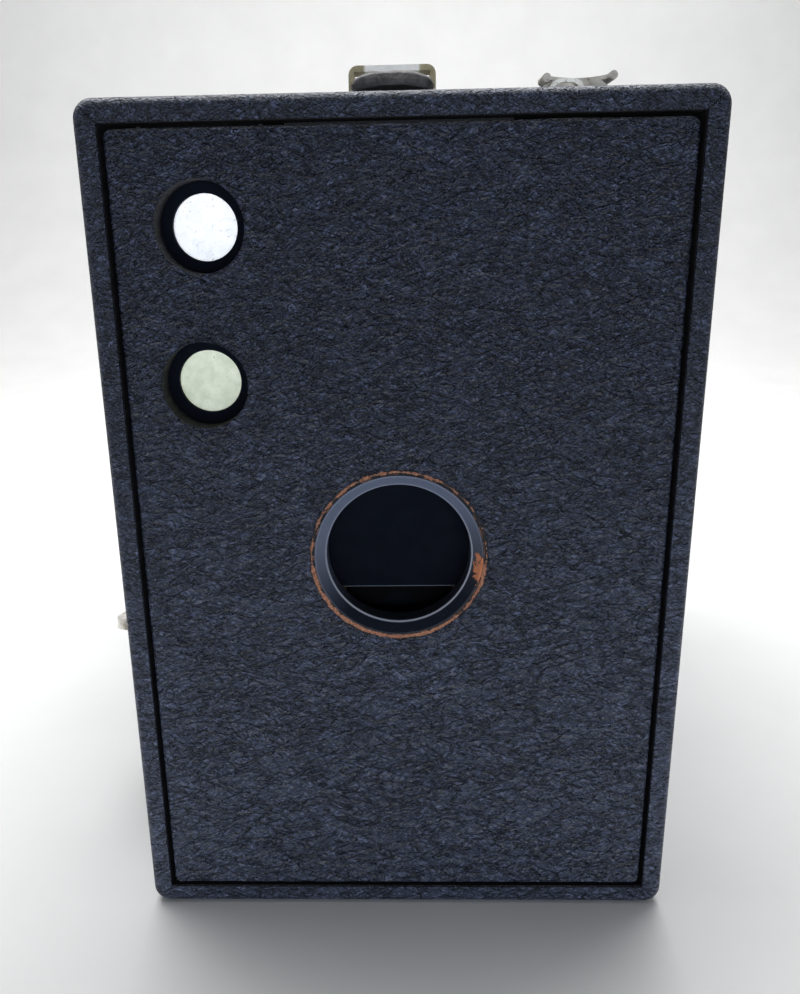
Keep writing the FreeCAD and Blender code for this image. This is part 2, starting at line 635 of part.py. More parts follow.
def make_key():
    """Winding key with its sliding collar, and the bush that guides it through the side."""
    bush = rod_x(chamber_depth, spool_z, bush_r, (-half_w - 0.8, -inner_x))
    bush = bush.fuse(rod_x(chamber_depth, spool_z, bush_r + 1.5, (-half_w - 0.8, -half_w)))
    bush = bush.cut(rod_x(chamber_depth, spool_z, collar_r + run_fit, (-60, 0)))
    group("key_bush", [bush.removeSplitter()])
    collar_x = (-half_w - 1.6, -inner_x + 0.2)
    collar = rod_x(chamber_depth, spool_z, collar_r, collar_x)
    collar = collar.cut(rod_x(chamber_depth, spool_z, key_shaft_r + run_fit, (-60, 0)))
    group("key_collar", [collar])

    tip = -half_w - key_reach
    blade_x = (-spool_length / 2 - 0.4, -spool_length / 2 + 1.6)
    shaft = rod_x(chamber_depth, spool_z, key_shaft_r, (tip + wing_r, blade_x[0] - 0.6))
    pilot = rod_x(chamber_depth, spool_z, 2.0, (blade_x[0] - 1, -spool_length / 2 + 4))
    cross = box(blade_x, (chamber_depth - 3.5, chamber_depth + 3.5), (spool_z - 0.7, spool_z + 0.7))
    stop = rod_x(chamber_depth, spool_z, key_shaft_r + 1.2, (collar_x[0] - 1.2, collar_x[0] - 0.1))
    wings = []
    for s in (-1, 1):
        centre_depth = chamber_depth + s * (wing_half - wing_r)
        wings.append(rod_z(tip + wing_r, centre_depth, wing_r, (spool_z - wing_t / 2, spool_z + wing_t / 2)))
    web = box((tip, tip + 2 * wing_r), (chamber_depth - wing_half + wing_r,
                                        chamber_depth + wing_half - wing_r),
              (spool_z - wing_t / 2, spool_z + wing_t / 2))
    bow = fuse_all([web] + wings)
    bow.rotate(pt(0, chamber_depth, spool_z), X, -wing_tilt)
    group("winding_key", [fuse_all([shaft, pilot, cross, stop, bow])])


def make_door():
    """Hinged back: board, covering, inner panel, red window, hinge and catch spring."""
    depth = (door_depth, case_depth)
    whole = along(box((-half_w, half_w), depth, (door_low, case_height)), Y, corner_r)
    wood = along(box((-half_w + cover, half_w - cover), (depth[0], depth[1] - cover),
                     (door_low + cover, case_height - cover)), Y, corner_r - cover)
    hole = rod_y(0, window_z, window_r, (door_depth - 10, case_depth + 1))
    leaf_at = [pt(x, case_depth + leaf_t, hinge_z + 7.6) for x in (-7, 7)]
    catch_at = [pt(x, case_depth + thin_sheet, case_height - 8) for x in (-3, 3)]
    drills = [shank(p, -Y, 0.8, 3.4) for p in leaf_at + catch_at]
    group("door_covering", [cut_all(whole.cut(wood), [hole] + drills)])
    group("door_board", [cut_all(wood, [hole] + drills)])
    panel = box((-inner_x + panel_gap, inner_x - panel_gap), (door_depth - panel_t, door_depth),
                (wall + panel_gap, inner_top - panel_gap - 0.2))
    group("door_panel", [panel.cut(rod_y(0, window_z, window_r - 1, (0, case_depth)))])
    pane = (door_depth, door_depth + 1.2)
    group("red_window", [rod_y(0, window_z, window_r, pane)])
    ring = rod_y(0, window_z, window_r, (pane[1], case_depth))
    ring = ring.fuse(rod_y(0, window_z, window_r + 2.6, (case_depth, case_depth + 0.5)))
    group("window_ring", [ring.cut(rod_y(0, window_z, window_r - 0.8, (0, 200))).removeSplitter()])

    axis = (hinge_depth, hinge_z)
    half = knuckle_length / 2
    bore = rod_x(*axis, hinge_pin_r + run_fit, (-60, 60))
    snug = rod_x(*axis, hinge_pin_r, (-60, 60))
    leaf = box((-half + eps, half - eps), (case_depth, case_depth + leaf_t), (hinge_z, hinge_z + 10))
    knuckle = rod_x(*axis, knuckle_r, (-half + eps, half - eps))
    leaf = fuse_all([leaf, knuckle]).cut(bore)
    group("hinge_door_leaf", [cut_all(leaf, drills)])
    flaps = []
    for s in (-1, 1):
        x = sorted((s * half, s * half * 3))
        flap = box(x, (case_end - 12, hinge_depth), (hinge_z - knuckle_r, cover))
        flaps.append(fuse_all([flap, rod_x(*axis, knuckle_r, x)]).cut(snug))
    bridge = box((-half, half), (case_end - 12, case_end - 2), (hinge_z - knuckle_r, cover))
    leaf = cut_all(fuse_all(flaps + [bridge]), [shank(p, -Z, flush_r, 2) for p in case_leaf_screws])
    group("hinge_case_leaf", [leaf])
    group("hinge_pin", [rod_x(*axis, hinge_pin_r, (-half * 3, half * 3))])
    group("door_screws", [screw(p, -Y, 1.4, 0.5, 0.8, 3.4) for p in leaf_at + catch_at])

    low = case_height - 13
    finger_end = keeper_depth - 3.5
    rise = case_height + 0.4
    foot = box((-catch_width / 2, catch_width / 2), (case_depth, case_depth + thin_sheet),
               (low, rise + thin_sheet))
    finger = box((-catch_width / 2, catch_width / 2), (finger_end, case_depth + thin_sheet),
                 (rise, rise + thin_sheet))
    finger = finger.cut(rod_z(0, keeper_depth, 2.2, (0, 200)))
    lip = Part.makeBox(catch_width, 3.0, thin_sheet, Vector(-catch_width / 2, -3.0, 0))
    lip.rotate(Vector(0, 0, thin_sheet), X, -35)
    lip.translate(pt(0, finger_end + 0.3, rise))
    group("catch_spring", [cut_all(fuse_all([foot, finger, lip]), drills)])
    stud = rod_z(0, keeper_depth, 1.8, (case_height + 0.2, case_height + 1.6))
    base = rod_z(0, keeper_depth, 4.0, (case_height, case_height + 0.2))
    shank_in = shank(pt(0, keeper_depth, case_height + 0.2), -Z, 1.2, 2.6)
    group("catch_keeper", [fuse_all([base, stud, shank_in])])


def make_handle():
    """Leather strap that lies in two metal brackets and rises between them."""
    feet_r = 3.0
    gap = strap_width / 2 + slide_fit
    outer = gap + bracket_wall
    top = case_height + bracket_h
    bands = []
    for depth in (bracket_depth, rear_bracket_depth):
        span = (depth, depth + bracket_band)
        loop = box((handle_x - outer, handle_x + outer), span, (case_height, top))
        loop = along(loop, Y, 1.6, lambda e: e.BoundBox.ZMin > case_height + 1)
        loop = loop.cut(box((handle_x - gap, handle_x + gap), span, (case_height - 1, top - bracket_wall)))
        feet = [box(sorted((handle_x + s * outer, handle_x + s * (outer + 2 * feet_r - 1))), span,
                    (case_height, case_height + 0.8)) for s in (-1, 1)]
        bands.append(cut_all(fuse_all([loop] + feet), bracket_drills))
    group("handle_brackets", bands)
    group("bracket_rivets", [screw(p, -Z, 1.5, 0.7, 0.8, 3.4) for p in bracket_feet])

    low = case_height + 0.3
    rest = bracket_h - bracket_wall - strap_t - strap_lift - 0.6
    mid = case_depth / 2
    route = [(strap_front_depth, strap_curl), (bracket_depth - 8, rest * 0.5),
             (bracket_depth + bracket_band + 4, rest), (mid, rest + 5.0)]
    route += [(case_depth - d, h) for d, h in route[-2::-1]]

    def spline(raise_by):
        curve = Part.BSplineCurve()
        curve.interpolate([pt(0, d, low + h + raise_by) for d, h in route])
        return curve.toShape()

    under, over = spline(0.0), spline(strap_t)
    ends = [Part.makeLine(under.Vertexes[k].Point, over.Vertexes[k].Point) for k in (0, -1)]
    face = Part.Face(Part.Wire([under, ends[1], over, ends[0]]))
    strap = face.extrude(Vector(strap_width, 0, 0))
    strap.translate(Vector(handle_x - strap_width / 2, 0, 0))
    group("handle_strap", [strap])


def make_sockets():
    """Tripod sockets in the base and in the side."""
    depth = socket_depth_pos
    base = rod_z(0, depth, 5.0, (0.1, 7.6)).fuse(rod_z(0, depth, 7.8, (0.1, 0.6)))
    base = base.cut(rod_z(0, depth, socket_r, (-1, 6.8)))
    base = cut_all(base, [shank(p, -Z, flush_r, 2) for p in socket_screw_at])
    base = cut_all(base, [shank(p, Z, flush_shank_r, 2) for p in socket_screw_at])
    side = rod_x(depth, side_socket_z, 5.0, (inner_x - 0.3, half_w - 0.1))
    side = side.fuse(rod_x(depth, side_socket_z, 7.8, (half_w - 0.6, half_w - 0.1)))
    side = side.cut(rod_x(depth, side_socket_z, socket_r, (inner_x + 0.2, half_w + 1)))
    side = cut_all(side, [shank(p, X, flush_r, 2) for p in side_screw_at])
    side = cut_all(side, [shank(p, -X, flush_shank_r, 2) for p in side_screw_at])
    group("tripod_sockets", [base.removeSplitter(), side.removeSplitter()])
    flush = (flush_r, flush_head, flush_shank_r, flush_length)
    screws = [screw(p, Z, *flush) for p in socket_screw_at + case_leaf_screws]
    screws += [screw(p, -X, *flush) for p in side_screw_at]
    group("flush_screws", screws)


make_case()
make_front()
make_shutter()
make_slides()
make_lens()
make_finders()
make_carrier()
make_key()
make_door()
make_handle()
make_sockets()

os.makedirs("parts", exist_ok=True)
for name, shape in shapes.items():
    shape.exportStep("parts/" + name + ".step")
    print(name, shape.isValid(), len(shape.Solids), round(shape.Volume, 1))
print(len(shapes), "nodes")
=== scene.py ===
import json
import math

import bmesh
import bpy
from mathutils import Matrix, Vector, noise


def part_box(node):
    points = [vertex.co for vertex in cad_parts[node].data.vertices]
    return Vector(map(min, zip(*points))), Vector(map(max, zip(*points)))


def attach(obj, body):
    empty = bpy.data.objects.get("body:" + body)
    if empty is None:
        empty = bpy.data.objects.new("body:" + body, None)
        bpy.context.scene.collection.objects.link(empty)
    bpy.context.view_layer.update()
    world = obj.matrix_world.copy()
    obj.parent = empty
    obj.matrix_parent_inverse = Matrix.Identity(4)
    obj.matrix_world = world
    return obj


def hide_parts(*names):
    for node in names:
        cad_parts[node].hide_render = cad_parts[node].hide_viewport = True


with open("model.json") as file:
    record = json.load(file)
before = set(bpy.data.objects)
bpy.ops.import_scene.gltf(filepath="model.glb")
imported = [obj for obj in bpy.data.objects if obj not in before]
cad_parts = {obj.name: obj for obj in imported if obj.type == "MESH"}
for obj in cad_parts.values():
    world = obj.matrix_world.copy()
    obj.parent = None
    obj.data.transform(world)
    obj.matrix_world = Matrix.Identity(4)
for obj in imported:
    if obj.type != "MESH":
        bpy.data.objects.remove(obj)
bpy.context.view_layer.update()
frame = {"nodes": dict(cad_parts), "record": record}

nodes = frame["nodes"]
MM = 0.001

# ---------------------------------------------------------------- places, from the frame
face_low, face_high = (Vector(v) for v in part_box("front_covering"))
bezel_low, bezel_high = (Vector(v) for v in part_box("lens_bezel"))
strap_low, strap_high = (Vector(v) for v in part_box("handle_strap"))
front_y = face_low.y
case_top = Vector(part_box("case_covering")[1]).z
lens_at = (bezel_low + bezel_high) / 2
bezel_r = (bezel_high.x - bezel_low.x) / 2

# ---------------------------------------------------------------- sizes in millimetres
lip_highlight_r = 11.45                   # bright inner lip of the bevelled ring
torn_r = 13.83                  # hole torn in the front covering for the lens
finder_r = 6.41                 # holes cut in the front covering for the two finders
finder_places = ((-28.12, 114.34), (-28.92, 92.0))
glass_split = (102.0, 104.0)    # heights between the lower and the upper finder
blade_edge = (-7.02, -6.94)     # lower edge of the shutter blade, from the lens axis
leather_cell = 0.36             # one square of the front covering's mesh
deepest_fold = 0.44             # the covering is 0.5 thick, and its board stays hidden
corner_r = 1.5                  # corners of the front covering
border_r = 0.7                  # how far in its border is rounded over
strap_thick = 3.0
strap_knots = ((0.0, 2.1), (16.0, 1.2), (33.0, 2.4), (58.5, 7.4), (84.0, 2.4), (101.0, 1.2),
               (117.0, 2.1))  # distance along the strap, height of its underside
strap_gap = 0.3                 # lowest place of the strap over the case
stitch_pitch = 2.6
stitch_place = 0.80             # stitch rows, as a share of the strap's half width


# ---------------------------------------------------------------- finishes
def math_node(tree, operation, first, second):
    """A Math node between two values, each a number or another node's output."""
    made = tree.nodes.new("ShaderNodeMath")
    made.operation = operation
    for socket, value in zip(made.inputs, (first, second)):
        if isinstance(value, bpy.types.NodeSocket):
            tree.links.new(value, socket)
        else:
            socket.default_value = value
    return made.outputs["Value"]


class Finish:
    """A material made of nodes, patterned on Object coordinates in millimetres."""

    def __init__(self, name):
        self.material = bpy.data.materials.new(name)
        self.material.use_nodes = True
        self.tree = self.material.node_tree
        self.shader = self.tree.nodes["Principled BSDF"]
        self.coords = self.tree.nodes.new("ShaderNodeTexCoord")

    def node(self, kind, **settings):
        """A shader node, its sockets and settings given by name."""
        made = self.tree.nodes.new("ShaderNode" + kind)
        for key, value in settings.items():
            if key in made.inputs:
                made.inputs[key].default_value = value
            else:
                setattr(made, key, value)
        return made

    def link(self, source, target):
        self.tree.links.new(source, target)

    def place(self, stretch=(1, 1, 1), centre=(0, 0, 0)):
        """Object coordinates in millimetres from centre."""
        mapping = self.node("Mapping", Scale=[s / MM for s in stretch])
        mapping.inputs["Location"].default_value = [-c * s / MM for c, s in zip(centre, stretch)]
        self.link(self.coords.outputs["Object"], mapping.inputs["Vector"])
        return mapping.outputs["Vector"]

    def along(self, axis, centre=(0, 0, 0)):
        """Distance along one axis, in millimetres from centre."""
        split = self.node("SeparateXYZ")
        self.link(self.place(centre=centre), split.inputs[0])
        return split.outputs[axis]

    def noise(self, size, detail=4.0, rough=0.55, warp=0.0, stretch=(1, 1, 1)):
        """Cloudy pattern whose features are about size millimetres across."""
        made = self.node("TexNoise", Scale=1.0 / size, Detail=detail, Roughness=rough, Distortion=warp)
        self.link(self.place(stretch), made.inputs["Vector"])
        return made.outputs["Fac"]

    def ramp(self, fac, stops):
        """Colours given at places between 0 and 1."""
        made = self.node("ValToRGB")
        bar = made.color_ramp.elements
        while len(bar) < len(stops):
            bar.new(0.5)
        for slot, (where, shade) in zip(bar, stops):
            slot.position = where
            slot.color = (*shade, 1)
        self.link(fac, made.inputs["Fac"])
        return made.outputs["Color"]

    def grey(self, fac, low, high, at=(0.3, 0.7)):
        """Turns the stretch of fac between the two values of at into low to high."""
        made = self.node("MapRange", **{"From Min": at[0], "From Max": at[1],
                                        "To Min": low, "To Max": high})
        self.link(fac, made.inputs["Value"])
        return made.outputs["Result"]

    def mix(self, fac, first, second):
        """Colour that goes from first to second as fac goes from 0 to 1."""
        made = self.node("Mix", data_type="RGBA", blend_type="MIX")
        sockets = (made.inputs[0], made.inputs[6], made.inputs[7])
        for socket, value in zip(sockets, (fac, first, second)):
            if isinstance(value, bpy.types.NodeSocket):
                self.link(value, socket)
            else:
                socket.default_value = value if isinstance(value, float) else (*value, 1)
        return made.outputs[2]

    def math(self, operation, first, second=0.0):
        return math_node(self.tree, operation, first, second)

    def bump(self, height, depth, strength=1.0, under=None):
        """A relief whose full height is depth millimetres."""
        made = self.node("Bump", Strength=strength, Distance=depth * MM)
        self.link(height, made.inputs["Height"])
        if under is not None:
            self.link(under, made.inputs["Normal"])
        self.link(made.outputs["Normal"], self.shader.inputs["Normal"])
        return made.outputs["Normal"]

    def set(self, **sockets):
        """Fills the shader's own sockets and gives back the material."""
        for name, value in sockets.items():
            target = self.shader.inputs[name.replace("_", " ")]
            if isinstance(value, bpy.types.NodeSocket):
                self.link(value, target)
            elif isinstance(value, (int, float)):
                target.default_value = value
            else:
                target.default_value = (*value, 1)
        return self.material


def leatherette():
    """Black imitation leather: long crossing folds over a fine criss-cross of pressed lines, with
    painted light in its colour: shade in the creases, highlights and wear on the pressed lines,
    highlights on faces turned up, and a lower part lightened as a painted reflection of the table.
    """
    f = Finish("leatherette")

    def ridged(turn, size, squash, sharp, warp):
        """Thin ridges along a direction that leans from level by turn."""
        turned = f.node("Mapping", Rotation=(0, turn, turn))
        f.link(f.place(), turned.inputs["Vector"])
        drawn = f.node("Mapping", Scale=(squash, squash * 1.4, 1.0))
        f.link(turned.outputs["Vector"], drawn.inputs["Vector"])
        wave = f.node("TexNoise", Scale=1.0 / size, Detail=2.0, Roughness=0.5, Distortion=warp)
        f.link(drawn.outputs["Vector"], wave.inputs["Vector"])
        away = f.math("ABSOLUTE", f.math("SUBTRACT", wave.outputs["Fac"], 0.5))
        return f.grey(away, 1.0, 0.0, (0.0, sharp))

    creases = f.math("MAXIMUM", ridged(0.33, 2.1, 0.24, 0.034, 0.5),
                     ridged(-0.30, 1.9, 0.24, 0.032, 0.5))
    pressed = f.math("MAXIMUM", ridged(0.62, 0.62, 0.36, 0.10, 0.3),
                     ridged(-0.58, 0.56, 0.36, 0.10, 0.3))
    scored = f.math("MAXIMUM", ridged(0.50, 0.70, 0.34, 0.075, 0.3),
                    ridged(-0.46, 0.66, 0.34, 0.075, 0.3))
    # low is 1 at the bottom of the front and 0 near its top: the colours below lighten downwards, a
    # painted reflection of the pale table on the lower front.
    low = f.grey(f.along("Z"), 1.0, 0.0, (15.0, 95.0))
    patchy = f.grey(f.noise(14.0, 4.0, 0.62), 0.0, 1.0)
    dark = f.mix(low, (0.0053, 0.0071, 0.0198), (0.0528, 0.0632, 0.1095))
    light = f.mix(low, (0.0092, 0.0117, 0.0302), (0.0757, 0.0887, 0.1473))
    tone = f.mix(patchy, dark, light)
    shade = f.node("HueSaturation")
    f.link(tone, shade.inputs["Color"])
    # Painted shade: the colour darkens along the creases and the scored lines, as shadow in their
    # grooves.
    painted_crease_shade = f.math("MULTIPLY", f.grey(creases, 1.0, 0.10, (0.1, 0.9)),
                     f.grey(scored, 1.0, 0.26, (0.3, 1.0)))
    f.link(painted_crease_shade, shade.inputs["Value"])
    # The pressed lines turn lighter, partly rubbed wear and partly a painted highlight on their
    # ridges; this colour too lightens towards the bottom as painted reflection.
    worn = f.mix(low, (0.0880, 0.1053, 0.1935), (0.1619, 0.1880, 0.2926))
    rub = f.math("MULTIPLY", f.grey(pressed, 0.0, 1.0, (0.35, 1.0)),
                 f.grey(scored, 0.62, 0.0, (0.0, 0.7)))
    # Painted highlight: faces turned up go pale grey, as lit from above.
    facing = f.node("NewGeometry")
    split = f.node("SeparateXYZ")
    f.link(facing.outputs["True Normal"], split.inputs[0])
    painted_top_highlight = f.grey(split.outputs["Z"], 0.0, 0.60, (0.20, 0.80))
    colour = f.mix(painted_top_highlight, f.mix(rub, shade.outputs["Color"], worn), (0.1600, 0.1600, 0.1640))
    under = f.bump(f.noise(5.5, 3.0, 0.5, 0.4, (0.6, 0.6, 1.2)), 1.0, 1.0)
    under = f.bump(creases, -0.34, 1.0, under)
    under = f.bump(scored, -0.12, 1.0, under)
    f.bump(pressed, 0.12, 1.0, under)
    return f.set(Base_Color=colour, Roughness=f.grey(pressed, 0.46, 0.30, (0.0, 0.9)),
                 Specular_IOR_Level=0.62, Specular_Tint=(0.72, 0.82, 1.0))


def metal(name, dark, light, rough, patina, size=1.5, scratch=0.4):
    """Plated or bare metal with brushed scratches, tarnish and small stains."""
    f = Finish(name)
    cloud = f.noise(size * 3, 5.0, 0.6, 0.3)
    colour = f.mix(f.grey(cloud, 0.0, 1.0), dark, light)
    stain = f.grey(f.noise(size, 6.0, 0.65, 0.5), 0.0, 0.85, (0.52, 0.66))
    colour = f.mix(stain, colour, patina)
    lines = f.noise(0.35, 2.0, 0.5, 0.0, (0.12, 1.0, 1.0))
    under = f.bump(lines, 0.02, scratch)
    f.bump(f.noise(size, 4.0, 0.5), 0.06, 0.35, under)
    return f.set(Base_Color=colour, Metallic=1.0, Roughness=f.grey(cloud, rough + 0.1, rough - 0.06))


def paint(name, dark, light, rough, under_shade, chips):
    """Black paint over metal, with chips that show what is under it."""
    f = Finish(name)
    tone = f.mix(f.grey(f.noise(3.0, 4.0), 0.0, 1.0), dark, light)
    chip = f.grey(f.noise(0.9, 5.0, 0.62, 0.4), 0.0, 1.0, (chips, chips + 0.025))
    colour = f.mix(chip, tone, under_shade)
    f.bump(chip, -0.05, 0.6, f.bump(f.noise(0.8, 3.0), 0.04, 0.4))
    return f.set(Base_Color=colour, Roughness=f.grey(chip, rough, 0.65, (0, 1)))


def wood(name, dark, light, rough=0.6):
    """Straight-grained softwood, the grain running back along Y."""
    f = Finish(name)
    rings = f.node("TexWave", wave_type="BANDS", bands_direction="X", Scale=0.42, Distortion=5.0,
                   Detail=3.0)
    rings.inputs["Detail Scale"].default_value = 1.4
    f.link(f.place((1.0, 0.06, 1.0)), rings.inputs["Vector"])
    pores = f.noise(0.5, 3.0, 0.6, 0.0, (1.0, 0.05, 1.0))
    tone = f.mix(f.grey(rings.outputs["Fac"], 0.0, 1.0, (0.1, 0.9)), dark, light)
    colour = f.mix(f.grey(pores, 0.0, 0.5, (0.5, 0.7)), tone, tuple(c * 0.45 for c in dark))
    f.bump(pores, 0.08, 0.5)
    return f.set(Base_Color=colour, Roughness=f.grey(pores, rough - 0.1, rough + 0.15))


def leather(name, dark, light):
    """Old strap leather: fine pores, long creases and rubbed high spots."""
    f = Finish(name)
    pores = f.node("TexVoronoi", feature="F1", Scale=1.0 / 0.5)
    f.link(f.place(), pores.inputs["Vector"])
    creases = f.noise(2.2, 6.0, 0.62, 0.7, (1.2, 0.8, 1.4))
    colour = f.mix(f.grey(creases, 0.0, 1.0, (0.35, 0.68)), dark, light)
    scuffs = f.grey(f.noise(1.1, 5.0, 0.7, 0.6, (0.4, 1.0, 1.6)), 0.0, 0.6, (0.58, 0.70))
    colour = f.mix(scuffs, colour, tuple(min(1.0, c * 2.2 + 0.03) for c in light))
    under = f.bump(creases, 0.5, 0.7)
    f.bump(pores.outputs["Distance"], 0.10, 0.5, under)
    return f.set(Base_Color=colour, Roughness=f.grey(creases, 0.72, 0.5))


def glass(name, tint, rough, clear, speck_shade=(0.06, 0.06, 0.05), speck_at=0.70, cloud=0.06):
    """Old glass with haze and specks of dirt."""
    f = Finish(name)
    haze = f.noise(2.2, 5.0, 0.6, 0.3)
    spots = f.grey(f.noise(0.42, 2.0, 0.5), 0.0, 1.0, (speck_at, speck_at + 0.03))
    tone = f.mix(f.grey(haze, 0.0, 1.0), tint, tuple(max(0.0, c - cloud) for c in tint))
    colour = f.mix(spots, tone, speck_shade)
    f.bump(haze, 0.03, 0.3)
    return f.set(Base_Color=colour, Roughness=f.grey(spots, rough, 0.8, (0, 1)),
                 Transmission_Weight=clear, IOR=1.5)


def around_lens(f):
    """Distance and angle about the lens axis, and a chip in the ring's right side."""
    across, up = f.along("X", lens_at), f.along("Z", lens_at)
    out = f.math("SQRT", f.math("ADD", f.math("POWER", across, 2.0), f.math("POWER", up, 2.0)))
    turn = f.math("ARCTAN2", up, across)
    ragged = f.noise(1.1, 5.0, 0.68, 0.5)
    chips = None
    for at_x, at_z, wide, high in ((12.6, -2.5, 1.0, 2.2), (12.9, -4.9, 0.7, 0.9),
                                   (12.3, -0.4, 0.45, 0.8)):
        sideways = f.math("DIVIDE", f.math("SUBTRACT", across, at_x), wide)
        upwards = f.math("DIVIDE", f.math("SUBTRACT", up, at_z), high)
        far = f.math("ADD", f.math("POWER", sideways, 2.0), f.math("POWER", upwards, 2.0))
        torn = f.math("MULTIPLY", f.math("SUBTRACT", ragged, 0.5), 5.0)
        patch = f.grey(f.math("ADD", far, torn), 1.0, 0.0, (0.75, 1.05))
        chips = patch if chips is None else f.math("MAXIMUM", chips, patch)
    return out, turn, chips


def raw_edge():
    """Torn paper board under the covering: a thin tan line, wider below and chipped at the right."""
    f = Finish("raw_edge")
    out, turn, chips = around_lens(f)
    fibres = f.noise(0.35, 5.0, 0.7, 0.5)
    tan = f.ramp(fibres, [(0.25, (0.07, 0.026, 0.013)), (0.42, (0.22, 0.088, 0.050)),
                          (0.58, (0.44, 0.20, 0.120)), (0.80, (0.60, 0.35, 0.25))])
    low = f.grey(f.math("SINE", f.math("ADD", turn, 0.45)), 0.34, 0.0, (-1.0, 0.25))
    ragged = f.grey(f.noise(0.9, 5.0, 0.7, 0.5), -0.26, 0.34)
    width = f.math("ADD", low, f.math("ADD", ragged, f.grey(f.noise(4.0, 3.0, 0.6), -0.12, 0.16)))
    away = f.math("ABSOLUTE", f.math("SUBTRACT", out, 13.60))
    line = f.grey(f.math("SUBTRACT", away, width), 1.0, 0.0, (-0.03, 0.05))
    inner = f.math("ABSOLUTE", f.math("SUBTRACT", out, 13.22))
    second = f.math("MULTIPLY", f.grey(inner, 1.0, 0.0, (0.03, 0.08)),
                    f.grey(f.noise(1.8, 4.0, 0.7), 0.0, 0.8, (0.50, 0.56)))
    shown = f.math("MAXIMUM", f.math("MAXIMUM", line, second), chips)
    colour = f.mix(shown, (0.006, 0.007, 0.012), tan)
    f.bump(fibres, 0.25, 0.9)
    return f.set(Base_Color=colour, Roughness=0.72)


def bevel_black():
    """Glossy black ring with fine rubbed lines, and a chip at the right down to tan board; its upper
    half and inner lip carry painted light.
    """
    f = Finish("bevel_black")
    out, turn, chips = around_lens(f)
    # Painted light: the upper half of the ring turns lighter, as lit by the pale table below; the
    # lower half stays dark.
    above = f.grey(f.math("SINE", f.math("SUBTRACT", turn, 0.25)), 0.0, 1.0, (-0.55, 0.45))
    spot = f.grey(f.noise(0.8, 5.0, 0.66, 0.6), 0.0, 1.0, (0.715, 0.73))
    chip = f.math("MAXIMUM", chips, spot)
    rub = f.grey(f.noise(0.5, 4.0, 0.6, 0.2), 0.0, 1.0, (0.60, 0.72))
    tone = f.mix(above, (0.004, 0.007, 0.016), (0.100, 0.120, 0.180))
    tone = f.mix(f.math("MULTIPLY", rub, 0.25), tone, (0.10, 0.12, 0.17))
    # Painted highlight: a thin bright band along the inner lip, strongest on the lower half.
    lip = f.grey(f.math("ABSOLUTE", f.math("SUBTRACT", out, lip_highlight_r)), 0.55, 0.0, (0.05, 0.16))
    tone = f.mix(f.math("MULTIPLY", lip, f.grey(above, 1.0, 0.35, (0, 1))), tone, (0.62, 0.66, 0.78))
    colour = f.mix(chip, tone, (0.46, 0.17, 0.08))
    f.bump(chip, -0.06, 0.8, f.bump(f.noise(0.9, 3.0), 0.03, 0.3))
    return f.set(Base_Color=colour, Roughness=f.grey(chip, 0.42, 0.8, (0, 1)), Specular_IOR_Level=0.30)


def finder_glass():
    """Finder lenses lit from behind by their mirrors, that light painted on as a glow: the upper cool,
    the lower greenish cream.
    """
    f = Finish("finder_glass")
    upper = f.grey(f.along("Z"), 0.0, 1.0, glass_split)
    haze = f.noise(1.6, 5.0, 0.62, 0.3)
    cream = f.mix(f.grey(haze, 0.0, 1.0), (0.42, 0.47, 0.35), (0.57, 0.61, 0.49))
    cool = f.mix(f.grey(haze, 0.0, 1.0), (0.76, 0.78, 0.82), (0.93, 0.94, 0.98))
    spots = f.grey(f.noise(0.30, 3.0, 0.6), 0.0, 0.75, (0.60, 0.66))
    cool = f.mix(spots, cool, (0.34, 0.34, 0.37))
    motes = f.grey(f.noise(0.8, 2.0, 0.5), 0.0, 0.8, (0.74, 0.76))
    colour = f.mix(upper, f.mix(motes, cream, (0.12, 0.11, 0.08)), cool)
    f.bump(haze, 0.03, 0.3)
    # The emission is painted light: the lenses glow in their own colour, though they are no lamp.
    return f.set(Base_Color=colour, Roughness=0.22, Emission_Color=colour, Emission_Strength=0.46)


def blackened(name, edge_tone):
    """Dead black of the shutter, with another tone along its lower edge."""
    f = Finish(name)
    cloud = f.noise(2.0, 4.0, 0.6)
    f.bump(cloud, 0.03, 0.3)
    edge = f.grey(f.along("Z", lens_at), 1.0, 0.0, blade_edge)
    black = f.mix(cloud, (0.0010, 0.0024, 0.0060), (0.0020, 0.0040, 0.0090))
    return f.set(Base_Color=f.mix(edge, black, edge_tone),
                 Roughness=f.grey(cloud, 0.75, 0.65), Specular_IOR_Level=0.06)


def bracket_metal():
    """Worn nickel with brass showing at its two sides, and a faint painted glow standing in for its
    highlights.
    """
    f = Finish("bracket_metal")
    away = f.math("ABSOLUTE", f.along("X", (strap_low + strap_high) / 2))
    side = f.grey(away, 0.0, 1.0, (4.3, 5.4))
    cloud = f.noise(1.4, 5.0, 0.62, 0.4)
    nickel = f.mix(f.grey(cloud, 0.0, 1.0), (0.80, 0.79, 0.75), (0.95, 0.95, 0.92))
    brass = f.mix(f.grey(cloud, 0.0, 1.0), (0.22, 0.19, 0.11), (0.42, 0.37, 0.23))
    wear = f.math("ADD", f.math("MULTIPLY", side, 0.8), f.math("MULTIPLY", cloud, 0.5))
    worn = f.grey(wear, 0.0, 1.0, (0.45, 0.80))
    f.bump(cloud, 0.04, 0.4)
    colour = f.mix(worn, nickel, brass)
    # The emission is a painted highlight: the bracket glows faintly in its own colour.
    return f.set(Base_Color=colour, Metallic=0.15, Roughness=f.grey(cloud, 0.60, 0.42),
                 Emission_Color=colour, Emission_Strength=0.10)


def lens_glass():
    """The taking lens: dark, because only the blackened inside of the case is behind it."""
    f = Finish("lens_glass")
    haze = f.noise(2.2, 4.0, 0.6, 0.3)
    return f.set(Base_Color=f.mix(haze, (0.003, 0.005, 0.009), (0.006, 0.009, 0.014)),
                 Roughness=f.grey(haze, 0.12, 0.25), Specular_IOR_Level=0.10)


